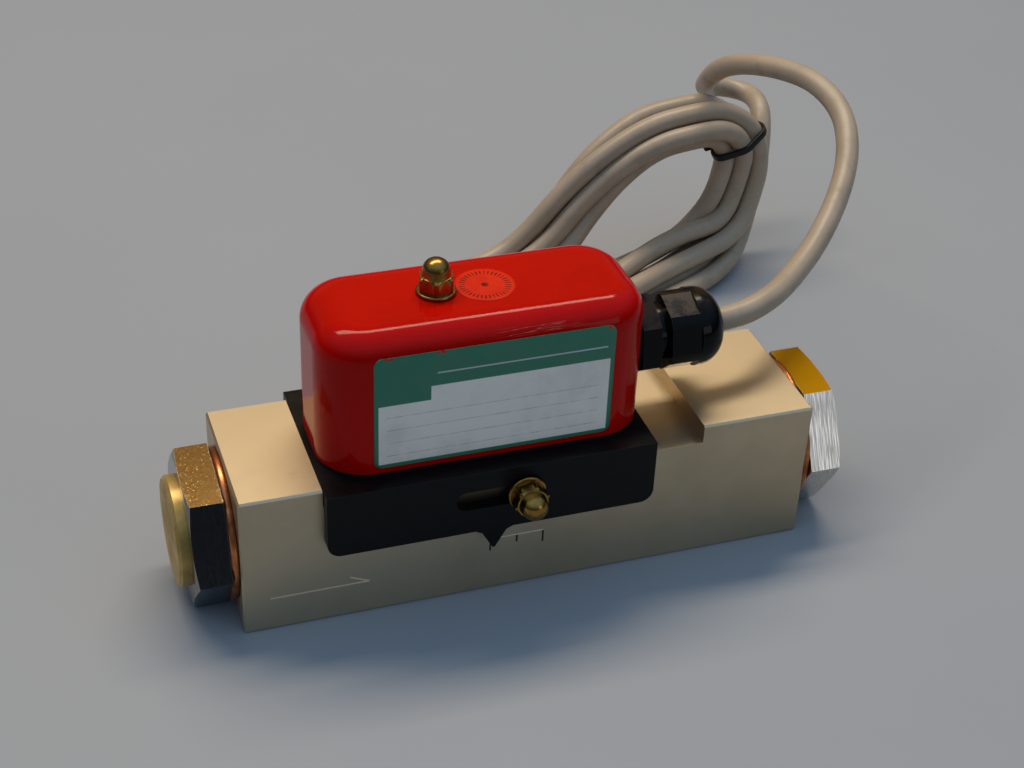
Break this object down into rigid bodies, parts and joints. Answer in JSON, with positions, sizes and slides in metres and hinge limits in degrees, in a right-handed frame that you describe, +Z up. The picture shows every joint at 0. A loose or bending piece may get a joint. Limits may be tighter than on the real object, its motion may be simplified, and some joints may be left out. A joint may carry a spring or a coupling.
{
  "type": "flow switch",
  "caption": "Inline piston flow switch: square metal flow body with hexagon connectors and a red switch head that slides on it, with a cable gland and coiled cable.",
  "frame": {"origin": "bottom centre of the switch without its cable, on the surface the flow body rests on", "axes": "+X along the flow, from the plugged inlet to the outlet; +Y to the rear, away from the name plate; +Z up"},
  "size_m": [0.2249, 0.1874, 0.0877],
  "materials": {
    "plated_metal": "satin nickel plate",
    "copper": "bright copper",
    "brass": "bright brass",
    "steel": "drawn steel",
    "magnet": "sintered ferrite",
    "plug_brass": "dull, oxidised",
    "saddle_black": "satin black coat",
    "cover_red": "glossy stoved red",
    "black_rubber": "moulded",
    "gland_black": "moulded polyamide",
    "cable_grey": "smooth sheath",
    "tie_black": "moulded nylon",
    "core_insulation": "smooth",
    "reed_glass": "clear",
    "carrier_plastic": "moulded",
    "terminal_plastic": "moulded"
  },
  "bodies": {
    "flow_body": {"body_block": "plated_metal", "inlet_connector": "plated_metal", "outlet_connector": "plated_metal", "inlet_seal_ring": "copper", "outlet_seal_ring": "copper", "inlet_plug": "plug_brass", "orifice_ring": "brass", "spring_seat": "brass", "guide_rod": "steel", "return_spring": "steel", "clamp_studs": "steel", "clamp_washers": "brass", "clamp_nuts": "brass"},
    "piston": {"piston": "brass", "piston_magnet": "magnet", "piston_tail": "brass"},
    "head": {"saddle": "saddle_black", "cover": "cover_red", "cover_gasket": "black_rubber", "cover_stud": "steel", "cover_washer": "brass", "cover_nut": "brass", "reed_carrier": "carrier_plastic", "reed_switch": "reed_glass", "reed_leads": "steel", "terminal_block": "terminal_plastic", "terminal_screws": "steel", "cable_cores": "core_insulation", "cable_tail": "cable_grey", "gland_body": "gland_black", "gland_gasket": "black_rubber", "gland_locknut": "gland_black", "gland_seal": "black_rubber", "gland_nut": "gland_black", "cable_lead": "cable_grey", "cable_hank": "cable_grey", "cable_tie": "tie_black", "cable_end": "core_insulation"}
  },
  "joints": [
    {"name": "head_slide", "type": "slide", "parent": "flow_body", "child": "head", "axis": [1, 0, 0], "range_m": [0, 0.014]},
    {"name": "piston_slide", "type": "slide", "parent": "flow_body", "child": "piston", "axis": [1, 0, 0], "range_m": [0, 0.016], "stiffness_N_per_m": 250, "springref_m": -0.008, "deforming": ["return_spring"]}
  ]
}
